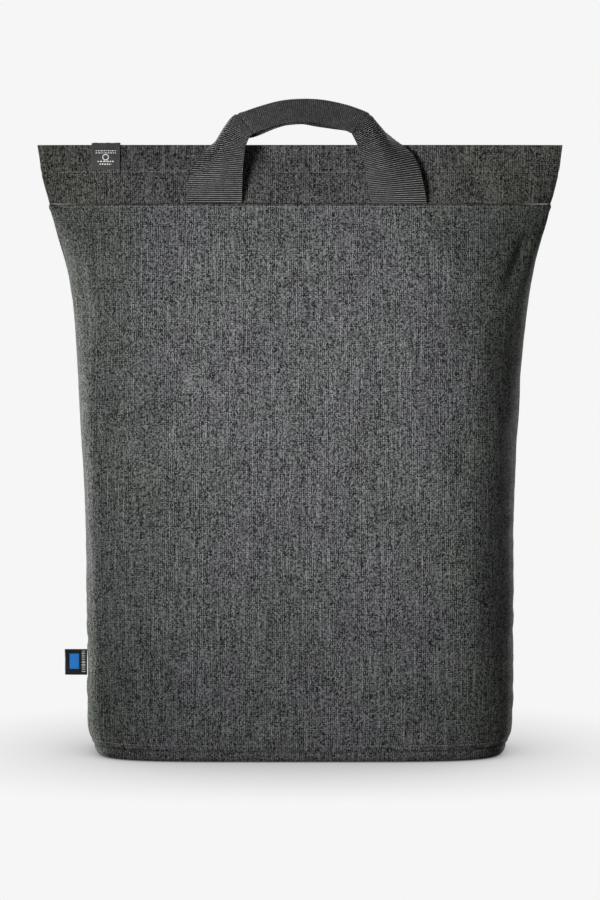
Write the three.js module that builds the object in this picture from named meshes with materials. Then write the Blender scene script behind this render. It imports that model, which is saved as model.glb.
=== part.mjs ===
// Laptop backpack in grey melange cloth: millimetres, +Z up, the front towards -Y.
// The origin is the middle of the base's underside. The side seams lie in the plane y = 0.

import * as THREE from 'three';

// Body
const HEIGHT = 448;
const MOUTH_WIDTH = 386;
const MOUTH_DEPTH = 14;
const BODY_WIDTH = 315;
const BODY_DEPTH = 118;
const BAND_HEIGHT = 43;
const BAND_RECESS = 0.8;
const BASE_RISE = 7.5;
const BASE_ROUNDING = 5;
const CLOTH = 2.5;
const SEAM_GAP = 0.3;

// Body sections: height as a share of HEIGHT, width from the body's (0) to the mouth's (1),
// depth from the mouth's (0) to the body's (1), and the roundness of the face and of the sides
const SECTIONS = [
  [0.000, -0.13, 0.975, 5.0, 3.5],
  [0.033, -0.02, 0.992, 5.0, 3.3],
  [0.080, 0.010, 1.000, 5.0, 3.1],
  [0.250, 0.010, 1.000, 5.0, 2.6],
  [0.400, 0.045, 0.981, 4.8, 2.3],
  [0.550, 0.108, 0.952, 4.6, 2.1],
  [0.660, 0.186, 0.910, 4.4, 1.9],
  [0.730, 0.280, 0.860, 4.2, 1.75],
  [0.780, 0.385, 0.798, 4.0, 1.6],
  [0.828, 0.505, 0.706, 3.9, 1.43],
  [0.894, 0.725, 0.480, 3.9, 1.2],
  [0.950, 0.893, 0.231, 4.8, 1.1],
  [1.000, 1.000, 0.000, 10.0, 1.0],
];

// Folds in the body's cloth: side (-1 front, 1 back), place as a share of the half width at the
// fold's low and high ends, those ends' heights as shares of HEIGHT, spread as a share of the half
// width, and height above the cloth as a share of FOLD_HEIGHT, below it where negative
const FOLD_HEIGHT = 3;
const FOLDS = [
  [-1, -0.86, -0.88, 0.02, 0.80, 0.035, 0.45],
  [-1, -0.8, -0.83, 0.04, 0.74, 0.050, -0.25],
  [-1, 0.9, 0.88, 0.02, 0.76, 0.035, 0.50],
  [-1, 0.84, 0.82, 0.04, 0.72, 0.050, -0.30],
  [-1, 0.885, 0.945, 0.75, 0.86, 0.030, -1.00],
  [-1, -0.93, -0.94, 0.66, 0.82, 0.030, -0.50],
  [1, -0.88, -0.88, 0.02, 0.78, 0.040, 0.45],
  [1, 0.88, 0.88, 0.02, 0.78, 0.040, 0.45],
];

// Grid steps across and up the cloth, and how far the columns crowd towards the side seams
const PANEL_COLUMNS = 38;
const PANEL_ROWS = 13;
const BAND_ROWS = 2;
const EDGE_CROWDING = 0.55;
const CORNER_STEPS = 3;

// Zip in the mouth
const ZIP_DEPTH = 7;
const ZIP_CLEARANCE = 0.4;
const ZIP_TAPE = 1.2;
const ZIP_TEETH_WIDTH = 4;
const ZIP_TEETH_HEIGHT = 1.8;
const ZIP_TEETH_CROWN = 0.6;
const SLIDER_LENGTH = 11;
const SLIDER_WIDTH = 5;
const SLIDER_HEIGHT = 2.6;
const PULL_LENGTH = 24;
const PULL_THICKNESS = 1.2;
const SLIDER_PLACE = 0.8;
const SLIDER_CROWN = 0.8;

// Carry handle: webbing that is folded in half lengthwise along the grip
const WEBBING_WIDTH = 40;
const WEBBING = 1.6;
const HANDLE_SPAN = 135;
const HANDLE_RISE = 77;
const HANDLE_CENTRE = 5;
const HANDLE_LEAN = 5.5;
const HANDLE_TILT = THREE.MathUtils.degToRad(28);
const HANDLE_STEPS = 32;
const LAYER_GAP = 1.0;
const FLAT_FOLD = 0.001;
const OPEN_BEND = 9;
const FOOT_SHARE = 0.35;

// Handle stations from the left foot to the right one: place along the webbing, place across as a
// share of HANDLE_SPAN, height as a share of HANDLE_RISE, lean back as a share of HANDLE_LEAN, and
// the outer half's fold behind the inner half, 1 where it is folded flat and tilted by HANDLE_TILT
const HANDLE_STATIONS = [
  [0.00, -0.497, 0.000, 0.00, 0.00],
  [0.05, -0.496, 0.148, 0.02, 0.06],
  [0.10, -0.493, 0.300, 0.06, 0.17],
  [0.15, -0.486, 0.448, 0.14, 0.30],
  [0.20, -0.472, 0.590, 0.28, 0.45],
  [0.25, -0.442, 0.720, 0.50, 0.58],
  [0.30, -0.401, 0.823, 0.72, 0.73],
  [0.35, -0.328, 0.876, 0.86, 0.88],
  [0.40, -0.246, 0.922, 0.94, 0.97],
  [0.46, -0.140, 0.969, 1.00, 1.00],
  [0.52, -0.031, 0.986, 1.00, 1.00],
  [0.58, 0.078, 0.981, 1.00, 0.92],
  [0.64, 0.183, 0.948, 0.94, 0.83],
  [0.69, 0.267, 0.904, 0.86, 0.77],
  [0.74, 0.340, 0.840, 0.72, 0.69],
  [0.79, 0.389, 0.710, 0.50, 0.48],
  [0.84, 0.427, 0.557, 0.28, 0.36],
  [0.89, 0.455, 0.393, 0.14, 0.19],
  [0.95, 0.478, 0.182, 0.06, 0.05],
  [1.00, 0.496, 0.000, 0.00, 0.00],
];

// Top label, sewn over the mouth's front edge
const LABEL_WIDTH = 21;
const LABEL_DROP = 18;
const LABEL_INSET = 51;
const LABEL_CLOTH = 1;
const LABEL_CLEARANCE = 0.46;

// Side tab, a folded loop in the left side seam
const TAB_LENGTH = 16.5;
const TAB_HEIGHT = 19;
const TAB_RISE = 56;
const TAB_CLOTH = 0.9;
const TAB_LEAF_GAP = 0.6;

// Shoulder straps
const STRAP_WIDTH = 60;
const STRAP_THICKNESS = 10;
const STRAP_TOP_SPACING = 96;
const STRAP_END_SPACING = 176;
const STRAP_RISE = 120;
const STRAP_SLACK = 16;
const STRAP_STEPS = 15;
const STRAP_CLEARANCE = 0.6;

// Strap stations from the seam down: share of the drop, share of the way from the top spacing to
// the end spacing, share of STRAP_SLACK off the cloth, share of the thickness and of the width
const STRAP_STATIONS = [
  [0.00, 0.00, 0.00, 0.40, 0.80],
  [0.06, 0.03, 0.00, 0.75, 0.90],
  [0.14, 0.09, 0.02, 1.00, 1.00],
  [0.30, 0.28, 0.12, 1.00, 1.00],
  [0.50, 0.58, 0.50, 1.00, 1.00],
  [0.70, 0.84, 0.90, 1.00, 0.96],
  [0.88, 0.97, 1.00, 0.95, 0.86],
  [0.96, 1.00, 1.00, 0.75, 0.70],
  [1.00, 1.00, 1.00, 0.45, 0.58],
];

// Strap buckles: a frame with two slots and a bar between them
const BUCKLE_WIDTH = 34;
const BUCKLE_BAR = 3.4;
const BUCKLE_SLOT = 5.2;
const BUCKLE_CORNER = 3;

// Lower straps: webbing that turns round the buckle's middle bar
const LOWER_WEBBING_WIDTH = 25;
const LOWER_END_SPACING = 240;
const LOWER_END_RISE = 26;
const TAIL_LENGTH = 62;
const TAIL_STEPS = 4;
const TURN_STEPS = 5;
const RUN_STEPS = 9;

const PAINTS = {
  cloth: { color: 0x5d5d60, roughness: 0.95, metalness: 0 },
  strap: { color: 0x505053, roughness: 0.95, metalness: 0 },
  webbing: { color: 0x3d3b3a, roughness: 0.9, metalness: 0 },
  label: { color: 0x4b4b4d, roughness: 0.85, metalness: 0 },
  tab: { color: 0x17181b, roughness: 0.8, metalness: 0 },
  plastic: { color: 0x1b1b1d, roughness: 0.5, metalness: 0 },
  zip: { color: 0x1f1f21, roughness: 0.7, metalness: 0 },
  metal: { color: 0x8b8b8e, roughness: 0.35, metalness: 0.9 },
};

const model = new THREE.Group();
model.name = 'laptop_backpack';

function addPiece(name, geometry, paint) {
  const mesh = new THREE.Mesh(geometry, new THREE.MeshStandardMaterial(PAINTS[paint]));
  mesh.name = name;
  model.add(mesh);
}

// A table as smooth curves: its first column is the place, and the others are the values there
function smoothTable(rows) {
  const places = rows.map((row) => row[0]);
  const values = rows.flatMap((row) => row.slice(1));
  const curves = new THREE.CubicInterpolant(places, values, rows[0].length - 1);
  return (place) => Array.from(curves.evaluate(place));
}

// Closed solids

function signedVolume(points, triangles) {
  const cross = new THREE.Vector3();
  return triangles.reduce((sum, [a, b, c]) =>
    sum + points[a].dot(cross.crossVectors(points[b], points[c])) / 6, 0);
}

function solidFrom(points, triangles) {
  const outward = signedVolume(points, triangles) > 0;
  const faces = outward ? triangles : triangles.map(([a, b, c]) => [a, c, b]);
  const geometry = new THREE.BufferGeometry().setFromPoints(points);
  geometry.setIndex(faces.flat());
  geometry.computeVertexNormals();
  return geometry;
}

// Two triangles on four corners, taken in order round them
function quad(a, b, c, d) {
  return [[a, b, c], [a, c, d]];
}

// A wall between two grids of points with the same rows and columns
function wallSolid(outer, inner) {
  const rows = outer.length;
  const columns = outer[0].length;
  const points = [...outer.flat(), ...inner.flat()];
  const out = (row, column) => row * columns + column;
  const into = (row, column) => rows * columns + out(row, column);
  const triangles = [];
  for (let row = 0; row + 1 < rows; row += 1) {
    for (let column = 0; column + 1 < columns; column += 1) {
      const corners = [[row, column], [row, column + 1], [row + 1, column + 1], [row + 1, column]];
      triangles.push(...quad(...corners.map((corner) => out(...corner))));
      triangles.push(...quad(...corners.map((corner) => into(...corner)).reverse()));
    }
  }
  const border = [];
  for (let column = 0; column < columns - 1; column += 1) border.push([0, column]);
  for (let row = 0; row < rows - 1; row += 1) border.push([row, columns - 1]);
  for (let column = columns - 1; column > 0; column -= 1) border.push([rows - 1, column]);
  for (let row = rows - 1; row > 0; row -= 1) border.push([row, 0]);
  border.forEach((corner, index) => {
    const next = border[(index + 1) % border.length];
    triangles.push(...quad(out(...next), out(...corner), into(...corner), into(...next)));
  });
  return solidFrom(points, triangles);
}

// A wall of even thickness about a grid of points on its middle
function thickSheet(grid, thickness) {
  const at = (row, column) => grid[Math.min(Math.max(row, 0), grid.length - 1)][
    Math.min(Math.max(column, 0), grid[0].length - 1)];
  const normals = grid.map((points, row) => points.map((point, column) => {
    const along = at(row + 1, column).clone().sub(at(row - 1, column));
    const across = at(row, column + 1).clone().sub(at(row, column - 1));
    return along.cross(across).normalize();
  }));
  const side = (distance) => grid.map((points, row) => points.map((point, column) =>
    point.clone().addScaledVector(normals[row][column], distance)));
  return wallSolid(side(thickness / 2), side(-thickness / 2));
}

// A solid through closed rings of points, with flat fans over the first and the last
function ringSolid(rings) {
  const count = rings[0].length;
  const points = rings.flat();
  const triangles = [];
  for (let ring = 0; ring + 1 < rings.length; ring += 1) {
    for (let index = 0; index < count; index += 1) {
      const next = (index + 1) % count;
      const low = ring * count;
      const high = low + count;
      triangles.push(...quad(low + index, low + next, high + next, high + index));
    }
  }
  const middle = (ring) => ring.reduce((sum, point) => sum.add(point), new THREE.Vector3())
    .divideScalar(count);
  const start = points.push(middle(rings[0])) - 1;
  const end = points.push(middle(rings[rings.length - 1])) - 1;
  const last = (rings.length - 1) * count;
  for (let index = 0; index < count; index += 1) {
    const next = (index + 1) % count;
    triangles.push([start, next, index], [end, last + index, last + next]);
  }
  return solidFrom(points, triangles);
}

// Body form

const sectionAt = smoothTable(SECTIONS);

function halfSizes(z) {
  const [widening, deepening, face, side] = sectionAt(z / HEIGHT);
  return {
    width: THREE.MathUtils.lerp(BODY_WIDTH, MOUTH_WIDTH, widening) / 2,
    depth: THREE.MathUtils.lerp(MOUTH_DEPTH, BODY_DEPTH, deepening) / 2,
    face,
    side,
  };
}

function foldHeight(half, across, z) {
  return FOLDS.filter(([side]) => side === half).reduce((sum, fold) => {
    const [, lowPlace, highPlace, low, high, spread, height] = fold;
    const share = (z / HEIGHT - low) / (high - low);
    if (share <= 0 || share >= 1) return sum;
    const distance = (across - THREE.MathUtils.lerp(lowPlace, highPlace, share)) / spread;
    return sum + FOLD_HEIGHT * height * Math.sin(Math.PI * share) * Math.exp(-distance * distance);
  }, 0);
}

// Depth of the body's face at a place across it, as a share of the half depth
function faceShare(across, face, side) {
  return (1 - Math.abs(across) ** face) ** (1 / side);
}

// The front (half -1) or back (half 1) of the body's outline at one height, from the left side
// seam to the right one, moved inwards by the inset
class HalfOutline extends THREE.Curve {
  constructor(half, z, inset, gap) {
    super();
    Object.assign(this, halfSizes(z), { half, z, inset, gap });
  }

  getPoint(t, target = new THREE.Vector3()) {
    const across = -Math.cos(Math.PI * t);
    const inset = this.inset - foldHeight(this.half, across, this.z);
    const reach = (this.depth - inset) * faceShare(across, this.face, this.side);
    return target.set((this.width - inset) * across, this.half * (this.gap / 2 + reach), this.z);
  }
}

function outlinePoints(half, z, inset, columns, gap = SEAM_GAP) {
  const outline = new HalfOutline(half, z, inset, gap);
  return Array.from({ length: columns + 1 }, (_, index) => {
    const even = index / columns;
    const crowded = (1 - Math.cos(Math.PI * even)) / 2;
    return outline.getPointAt(THREE.MathUtils.lerp(even, crowded, EDGE_CROWDING));
  });
}

function closedOutline(z, inset) {
  const front = outlinePoints(-1, z, inset, PANEL_COLUMNS, 0);
  const back = outlinePoints(1, z, inset, PANEL_COLUMNS, 0).reverse();
  return [...front, ...back.slice(1, -1)];
}

// Evenly spaced values from the first to the last, both included
function evenSteps(first, last, steps) {
  return Array.from({ length: steps + 1 }, (_, step) => THREE.MathUtils.lerp(first, last, step / steps));
}

const bandSeam = HEIGHT - BAND_HEIGHT;
const tapeTop = HEIGHT - ZIP_DEPTH;

function bandInset(z) {
  return BAND_RECESS * (HEIGHT - z) / BAND_HEIGHT;
}

function addBody() {
  const panelHeights = evenSteps(BASE_RISE + SEAM_GAP, bandSeam - SEAM_GAP, PANEL_ROWS);
  const bandHeights = [...evenSteps(bandSeam, tapeTop - ZIP_TAPE, BAND_ROWS), tapeTop, HEIGHT];
  for (const [name, half] of [['front', -1], ['back', 1]]) {
    const panel = (inset) => panelHeights.map((z) => outlinePoints(half, z, inset, PANEL_COLUMNS));
    const band = (inset) => bandHeights.map((z) =>
      outlinePoints(half, z, bandInset(z) + inset, PANEL_COLUMNS));
    addPiece(`${name}_panel`, wallSolid(panel(0), panel(CLOTH)), 'cloth');
    addPiece(`${name}_band`, wallSolid(band(0), band(CLOTH)), 'cloth');
  }
}

// Base: a shallow dish with a rounded edge, flat underneath
function addBase() {
  const turns = [0, 1 / 3, 2 / 3, 1].map((share) => share * Math.PI / 2);
  const bend = (turn, wall) => {
    const z = wall + (BASE_RISE - wall) * (1 - Math.cos(turn));
    const inset = wall + BASE_ROUNDING * (1 - Math.sin(turn));
    return closedOutline(BASE_RISE, inset).map((point) => point.setZ(z));
  };
  const outside = turns.map((turn) => bend(turn, 0));
  const inside = turns.map((turn) => bend(turn, CLOTH)).reverse();
  addPiece('base_panel', ringSolid([...outside, ...inside]), 'cloth');
}

// Zip: tape between the bands, with a row of teeth along its middle

const tapeInset = bandInset(tapeTop - ZIP_TAPE) + CLOTH + ZIP_CLEARANCE;

function addZip() {
  const tape = (z) => closedOutline(z, tapeInset);
  const tapeEnd = halfSizes(tapeTop).width - tapeInset;
  const teeth = (z, share) => closedOutline(tapeTop, tapeInset).map((point) => {
    const reach = Math.sign(point.y) * Math.min(Math.abs(point.y), ZIP_TEETH_WIDTH / 2);
    return new THREE.Vector3(point.x * (1 - ZIP_TEETH_WIDTH / tapeEnd), reach * share, z);
  });
  const tip = tapeTop + ZIP_TEETH_HEIGHT;
  const rings = [tape(tapeTop - ZIP_TAPE), tape(tapeTop), teeth(tapeTop, 1), teeth(tip, ZIP_TEETH_CROWN)];
  addPiece('top_zip', ringSolid(rings), 'zip');

  const seat = tip + SEAM_GAP;
  const shoulder = SLIDER_HEIGHT - SLIDER_CROWN;
  const profile = new THREE.Shape();
  profile.moveTo(0, 0);
  profile.lineTo(SLIDER_LENGTH, 0);
  profile.lineTo(SLIDER_LENGTH, shoulder);
  profile.quadraticCurveTo(SLIDER_LENGTH / 2, shoulder + 2 * SLIDER_CROWN, 0, shoulder);
  profile.lineTo(-PULL_LENGTH, shoulder);
  profile.lineTo(-PULL_LENGTH, shoulder - PULL_THICKNESS);
  profile.lineTo(0, shoulder - PULL_THICKNESS);
  const slider = new THREE.ExtrudeGeometry(profile, {
    depth: SLIDER_WIDTH, bevelEnabled: false, curveSegments: CORNER_STEPS,
  });
  slider.rotateX(Math.PI / 2);
  slider.translate(tapeEnd * SLIDER_PLACE, SLIDER_WIDTH / 2, seat);
  addPiece('zip_slider', slider, 'metal');
}

// Carry handle

// Cross-section of the webbing: each point is a distance outwards from the handle's line and a
// distance back, with the outer half turned behind the inner half about a rounded bend
function foldedSection(fold) {
  const closedBend = Math.PI * (WEBBING + LAYER_GAP) / 4;
  const bend = THREE.MathUtils.lerp(OPEN_BEND, closedBend, THREE.MathUtils.clamp(fold, 0, 1));
  const turn = Math.PI * THREE.MathUtils.clamp(fold, FLAT_FOLD, 1);
  const radius = 2 * bend / turn;
  const half = WEBBING_WIDTH / 2;
  const turned = [0, 0.25, 0.5, 0.75, 1].map((share) => [
    -bend + radius * Math.sin(turn * share),
    radius * (1 - Math.cos(turn * share)),
  ]);
  const [bendOut, bendBack] = turned[turned.length - 1];
  const beyond = [(half - bend) / 2, half - bend].map((length) => [
    bendOut + length * Math.cos(turn),
    bendBack + length * Math.sin(turn),
  ]);
  return [[-half, 0], [-(half + bend) / 2, 0], ...turned, ...beyond];
}

function addHandle() {
  const station = smoothTable(HANDLE_STATIONS);
  const face = halfSizes(bandSeam).depth - bandInset(bandSeam);
  const footY = -(SEAM_GAP / 2 + face + SEAM_GAP + WEBBING / 2);
  // The feet are cut level along the seam, so the section is square to the line only above them
  const levelled = (rise) => THREE.MathUtils.clamp(rise / FOOT_SHARE, 0, 1);
  const linePoint = (place) => {
    const [across, rise, lean] = station(place);
    return new THREE.Vector3(HANDLE_CENTRE + across * HANDLE_SPAN,
      footY + lean * HANDLE_LEAN, bandSeam + SEAM_GAP + rise * HANDLE_RISE);
  };
  const grid = evenSteps(0, 1, HANDLE_STEPS).map((place) => {
    const [, rise, , fold] = station(place);
    const step = 0.5 / HANDLE_STEPS;
    const before = linePoint(Math.max(place - step, 0));
    const along = linePoint(Math.min(place + step, 1)).sub(before).normalize();
    const back = new THREE.Vector3(0, 1, 0);
    back.addScaledVector(along, -back.dot(along)).normalize();
    const outwards = along.clone().cross(back);
    outwards.setZ(outwards.z * levelled(rise)).normalize();
    const tilt = HANDLE_TILT * THREE.MathUtils.clamp(fold, 0, 1) ** 2;
    return foldedSection(fold).map(([out, behind]) => linePoint(place)
      .addScaledVector(outwards, out * Math.cos(tilt) - behind * Math.sin(tilt))
      .addScaledVector(back, out * Math.sin(tilt) + behind * Math.cos(tilt)));
  });
  addPiece('carry_handle', thickSheet(grid, WEBBING), 'webbing');
}

// Label and tab

// How far the body's face stands off the seam plane at a place across and up
function faceReach(half, x, z) {
  const { width, depth, face, side } = halfSizes(z);
  const across = THREE.MathUtils.clamp(x / width, -1, 1);
  return SEAM_GAP / 2 + (depth + foldHeight(half, across, z)) * faceShare(across, face, side);
}

function addLabel() {
  const clear = LABEL_CLEARANCE + LABEL_CLOTH / 2;
  const middle = LABEL_INSET - MOUTH_WIDTH / 2;
  const grid = [-0.5, 0, 0.5].map((share) => {
    const x = middle + share * LABEL_WIDTH;
    const leaf = [1, 0.5, 0].map((drop) => {
      const z = HEIGHT - drop * LABEL_DROP;
      return new THREE.Vector3(x, -(faceReach(-1, x, z) + clear), z);
    });
    const corner = leaf[2].clone().setZ(HEIGHT + clear);
    const lip = corner.clone().setY(-(faceReach(-1, x, HEIGHT) - CLOTH));
    return [...leaf, corner, lip];
  });
  addPiece('top_label', thickSheet(grid, LABEL_CLOTH), 'label');
}

function addTab() {
  const leaf = (TAB_CLOTH + TAB_LEAF_GAP) / 2;
  const grid = [TAB_RISE, TAB_RISE + TAB_HEIGHT].map((z) => {
    const seam = -(halfSizes(z).width + SEAM_GAP);
    const end = seam - TAB_LENGTH + TAB_CLOTH / 2;
    const turned = [-90, -45, 0, 45, 90].map((degrees) => {
      const turn = THREE.MathUtils.degToRad(degrees);
      return new THREE.Vector3(end + leaf * (1 - Math.cos(turn)), leaf * Math.sin(turn), z);
    });
    return [new THREE.Vector3(seam, -leaf, z), ...turned, new THREE.Vector3(seam, leaf, z)];
  });
  addPiece('side_tab', thickSheet(grid, TAB_CLOTH), 'tab');
}

// Shoulder straps

// A point off the body's back: its place across, its height and its distance from the cloth
function offBack(x, z, distance) {
  const step = CLOTH / 2;
  const onBack = (acrossX, upZ) => new THREE.Vector3(acrossX, faceReach(1, acrossX, upZ), upZ);
  const here = onBack(x, z);
  const sideways = onBack(x + step, z).sub(here);
  const upwards = onBack(x, z + step).sub(here);
  return here.addScaledVector(upwards.cross(sideways).normalize(), distance);
}

// Directions at a place on a line: along it, across the band that follows it, and off its face
function bandFrame(line, place, step) {
  const before = line(Math.max(place - step, 0));
  const along = line(Math.min(place + step, 1)).sub(before).normalize();
  const across = new THREE.Vector3(1, 0, 0);
  across.addScaledVector(along, -across.dot(along)).normalize();
  return { along, across, off: across.clone().cross(along).normalize() };
}

// The padded strap's cross-section, flat with round edges
const STRAP_SECTION = [
  [-1, 0], [-0.93, 0.75], [-0.6, 1], [0.6, 1], [0.93, 0.75],
  [1, 0], [0.93, -0.75], [0.6, -1], [-0.6, -1], [-0.93, -0.75],
];

const strapStation = smoothTable(STRAP_STATIONS);
const strapTop = bandSeam - SEAM_GAP;

function strapLine(side, place) {
  const [shift, slack] = strapStation(place);
  const x = side * THREE.MathUtils.lerp(STRAP_TOP_SPACING, STRAP_END_SPACING, shift) / 2;
  const z = THREE.MathUtils.lerp(strapTop, STRAP_RISE, place);
  return offBack(x, z, STRAP_THICKNESS / 2 + STRAP_CLEARANCE + slack * STRAP_SLACK);
}

// The buckle's own frame: its middle bar's middle, down the strap, across it and off its face
function buckleFrame(side) {
  const line = (place) => strapLine(side, place);
  const { along, across, off } = bandFrame(line, 1, 0.5 / STRAP_STEPS);
  const reach = SEAM_GAP + BUCKLE_BAR * 1.5 + BUCKLE_SLOT;
  const middle = line(1).addScaledVector(along, reach);
  return (down, sideways, outwards) => middle.clone().addScaledVector(along, down)
    .addScaledVector(across, sideways).addScaledVector(off, outwards);
}

function addShoulderStrap(name, side) {
  const line = (place) => strapLine(side, place);
  const rings = evenSteps(0, 1, STRAP_STEPS).map((place) => {
    const [, , thick, wide] = strapStation(place);
    const { across, off } = bandFrame(line, place, 0.5 / STRAP_STEPS);
    return STRAP_SECTION.map(([sideways, outwards]) => line(place)
      .addScaledVector(across, sideways * wide * STRAP_WIDTH / 2)
      .addScaledVector(off, outwards * thick * STRAP_THICKNESS / 2));
  });
  addPiece(`shoulder_strap_${name}`, ringSolid(rings), 'strap');
}

function addBuckle(name, side) {
  const place = buckleFrame(side);
  const pitch = BUCKLE_BAR + BUCKLE_SLOT;
  const half = BUCKLE_WIDTH / 2;
  const reach = pitch + BUCKLE_BAR / 2;
  const outline = new THREE.Shape();
  outline.moveTo(-half + BUCKLE_CORNER, -reach);
  outline.lineTo(half - BUCKLE_CORNER, -reach);
  outline.quadraticCurveTo(half, -reach, half, -reach + BUCKLE_CORNER);
  outline.lineTo(half, reach - BUCKLE_CORNER);
  outline.quadraticCurveTo(half, reach, half - BUCKLE_CORNER, reach);
  outline.lineTo(-half + BUCKLE_CORNER, reach);
  outline.quadraticCurveTo(-half, reach, -half, reach - BUCKLE_CORNER);
  outline.lineTo(-half, -reach + BUCKLE_CORNER);
  outline.quadraticCurveTo(-half, -reach, -half + BUCKLE_CORNER, -reach);
  for (const middle of [-pitch / 2, pitch / 2]) {
    const slotHalf = half - BUCKLE_BAR;
    outline.holes.push(new THREE.Path([
      new THREE.Vector2(-slotHalf, middle - BUCKLE_SLOT / 2),
      new THREE.Vector2(-slotHalf, middle + BUCKLE_SLOT / 2),
      new THREE.Vector2(slotHalf, middle + BUCKLE_SLOT / 2),
      new THREE.Vector2(slotHalf, middle - BUCKLE_SLOT / 2),
    ]));
  }
  const geometry = new THREE.ExtrudeGeometry(outline, {
    depth: BUCKLE_BAR, bevelEnabled: false, curveSegments: CORNER_STEPS,
  });
  const corners = geometry.getAttribute('position');
  const point = new THREE.Vector3();
  for (let index = 0; index < corners.count; index += 1) {
    point.fromBufferAttribute(corners, index);
    corners.setXYZ(index, ...place(point.y, point.x, point.z - BUCKLE_BAR / 2));
  }
  geometry.computeVertexNormals();
  addPiece(`strap_buckle_${name}`, geometry, 'plastic');
}

function addLowerStrap(name, side) {
  const place = buckleFrame(side);
  const half = LOWER_WEBBING_WIDTH / 2;
  const clearOfBar = BUCKLE_BAR * Math.SQRT1_2 + SEAM_GAP + WEBBING / 2;
  const turnRadius = clearOfBar / Math.cos(Math.PI / 2 / TURN_STEPS);
  const pitch = BUCKLE_BAR + BUCKLE_SLOT;
  const edges = [-half, 0, half];
  const flat = (down, outwards) => edges.map((across) => place(down, across, outwards));

  const tail = evenSteps(TAIL_LENGTH, 0, TAIL_STEPS).map((down) => flat(down, turnRadius));
  const turned = evenSteps(0, Math.PI, TURN_STEPS).slice(1).map((turn) =>
    flat(-turnRadius * Math.sin(turn), turnRadius * Math.cos(turn)));
  const under = flat(pitch + BUCKLE_BAR, -turnRadius);
  const foot = edges.map((across) => offBack(side * LOWER_END_SPACING / 2 + across,
    LOWER_END_RISE, STRAP_CLEARANCE + WEBBING / 2));
  const run = evenSteps(0, 1, RUN_STEPS).map((share) =>
    under.map((point, edge) => point.clone().lerp(foot[edge], share)));
  addPiece(`lower_strap_${name}`, thickSheet([...tail, ...turned, ...run], WEBBING), 'webbing');
}

addBody();
addBase();
addZip();
addHandle();
addLabel();
addTab();
for (const [name, side] of [['left', -1], ['right', 1]]) {
  addShoulderStrap(name, side);
  addBuckle(name, side);
  addLowerStrap(name, side);
}

export default model;
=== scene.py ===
"""Laptop backpack in grey melange cloth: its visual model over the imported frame.

Shapes are worked out in millimetres in the row frame and become metres in Shape.build.
The forms are the CAD source's, sampled far more finely. SECTIONS and FOLDS follow the
photograph's outline more closely than the source's tables, by up to about 2 mm.
"""

import math

import bmesh
import bpy
import numpy as np
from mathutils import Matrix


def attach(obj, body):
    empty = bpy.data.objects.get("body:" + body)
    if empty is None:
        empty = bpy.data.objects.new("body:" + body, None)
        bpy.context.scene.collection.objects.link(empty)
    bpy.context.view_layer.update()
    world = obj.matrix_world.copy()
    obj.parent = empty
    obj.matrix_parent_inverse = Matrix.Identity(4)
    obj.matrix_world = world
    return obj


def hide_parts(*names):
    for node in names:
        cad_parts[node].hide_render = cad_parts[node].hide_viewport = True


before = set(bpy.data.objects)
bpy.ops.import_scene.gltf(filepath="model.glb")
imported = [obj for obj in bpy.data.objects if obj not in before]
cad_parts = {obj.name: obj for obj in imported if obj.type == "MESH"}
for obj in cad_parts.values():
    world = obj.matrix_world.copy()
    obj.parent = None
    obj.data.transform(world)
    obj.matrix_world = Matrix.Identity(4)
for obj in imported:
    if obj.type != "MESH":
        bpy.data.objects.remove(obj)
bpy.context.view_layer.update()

MM = 0.001

# Body, as in the CAD source apart from SECTIONS and FOLDS
HEIGHT = 448
MOUTH_WIDTH = 386
MOUTH_DEPTH = 14
BODY_WIDTH = 315
BODY_DEPTH = 118
BAND_HEIGHT = 43
BAND_RECESS = 0.8
BASE_RISE = 7.5
BASE_ROUNDING = 5
CLOTH = 2.5
SEAM_GAP = 0.3
BAND_SEAM = HEIGHT - BAND_HEIGHT
SECTIONS = [
    [0.000, -0.13, 0.975, 5.0, 3.5],
    [0.033, -0.02, 0.992, 5.0, 3.3],
    [0.080, 0.010, 1.000, 5.0, 3.1],
    [0.250, 0.010, 1.000, 5.0, 2.6],
    [0.400, 0.060, 0.981, 4.8, 2.3],
    [0.550, 0.125, 0.952, 4.6, 2.1],
    [0.660, 0.198, 0.910, 4.4, 1.9],
    [0.730, 0.280, 0.860, 4.2, 1.75],
    [0.780, 0.385, 0.798, 4.0, 1.6],
    [0.828, 0.518, 0.706, 3.9, 1.43],
    [0.894, 0.748, 0.480, 3.9, 1.2],
    [0.950, 0.915, 0.231, 4.8, 1.1],
    [1.000, 1.000, 0.000, 10.0, 1.0],
]
FOLD_HEIGHT = 3
FOLDS = [
    [-1, -0.87, -0.88, 0.02, 0.80, 0.045, -0.65],
    [-1, -0.95, -0.95, 0.04, 0.74, 0.030, 0.30],
    [-1, 0.80, 0.79, 0.02, 0.78, 0.070, 0.50],
    [-1, 0.955, 0.95, 0.04, 0.72, 0.050, -0.50],
    [-1, 0.885, 0.945, 0.75, 0.86, 0.030, -1.00],
    [-1, -0.93, -0.94, 0.66, 0.82, 0.030, -0.50],
    [1, -0.88, -0.88, 0.02, 0.78, 0.040, 0.45],
    [1, 0.88, 0.88, 0.02, 0.78, 0.040, 0.45],
]
EDGE_CROWDING = 0.55

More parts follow.
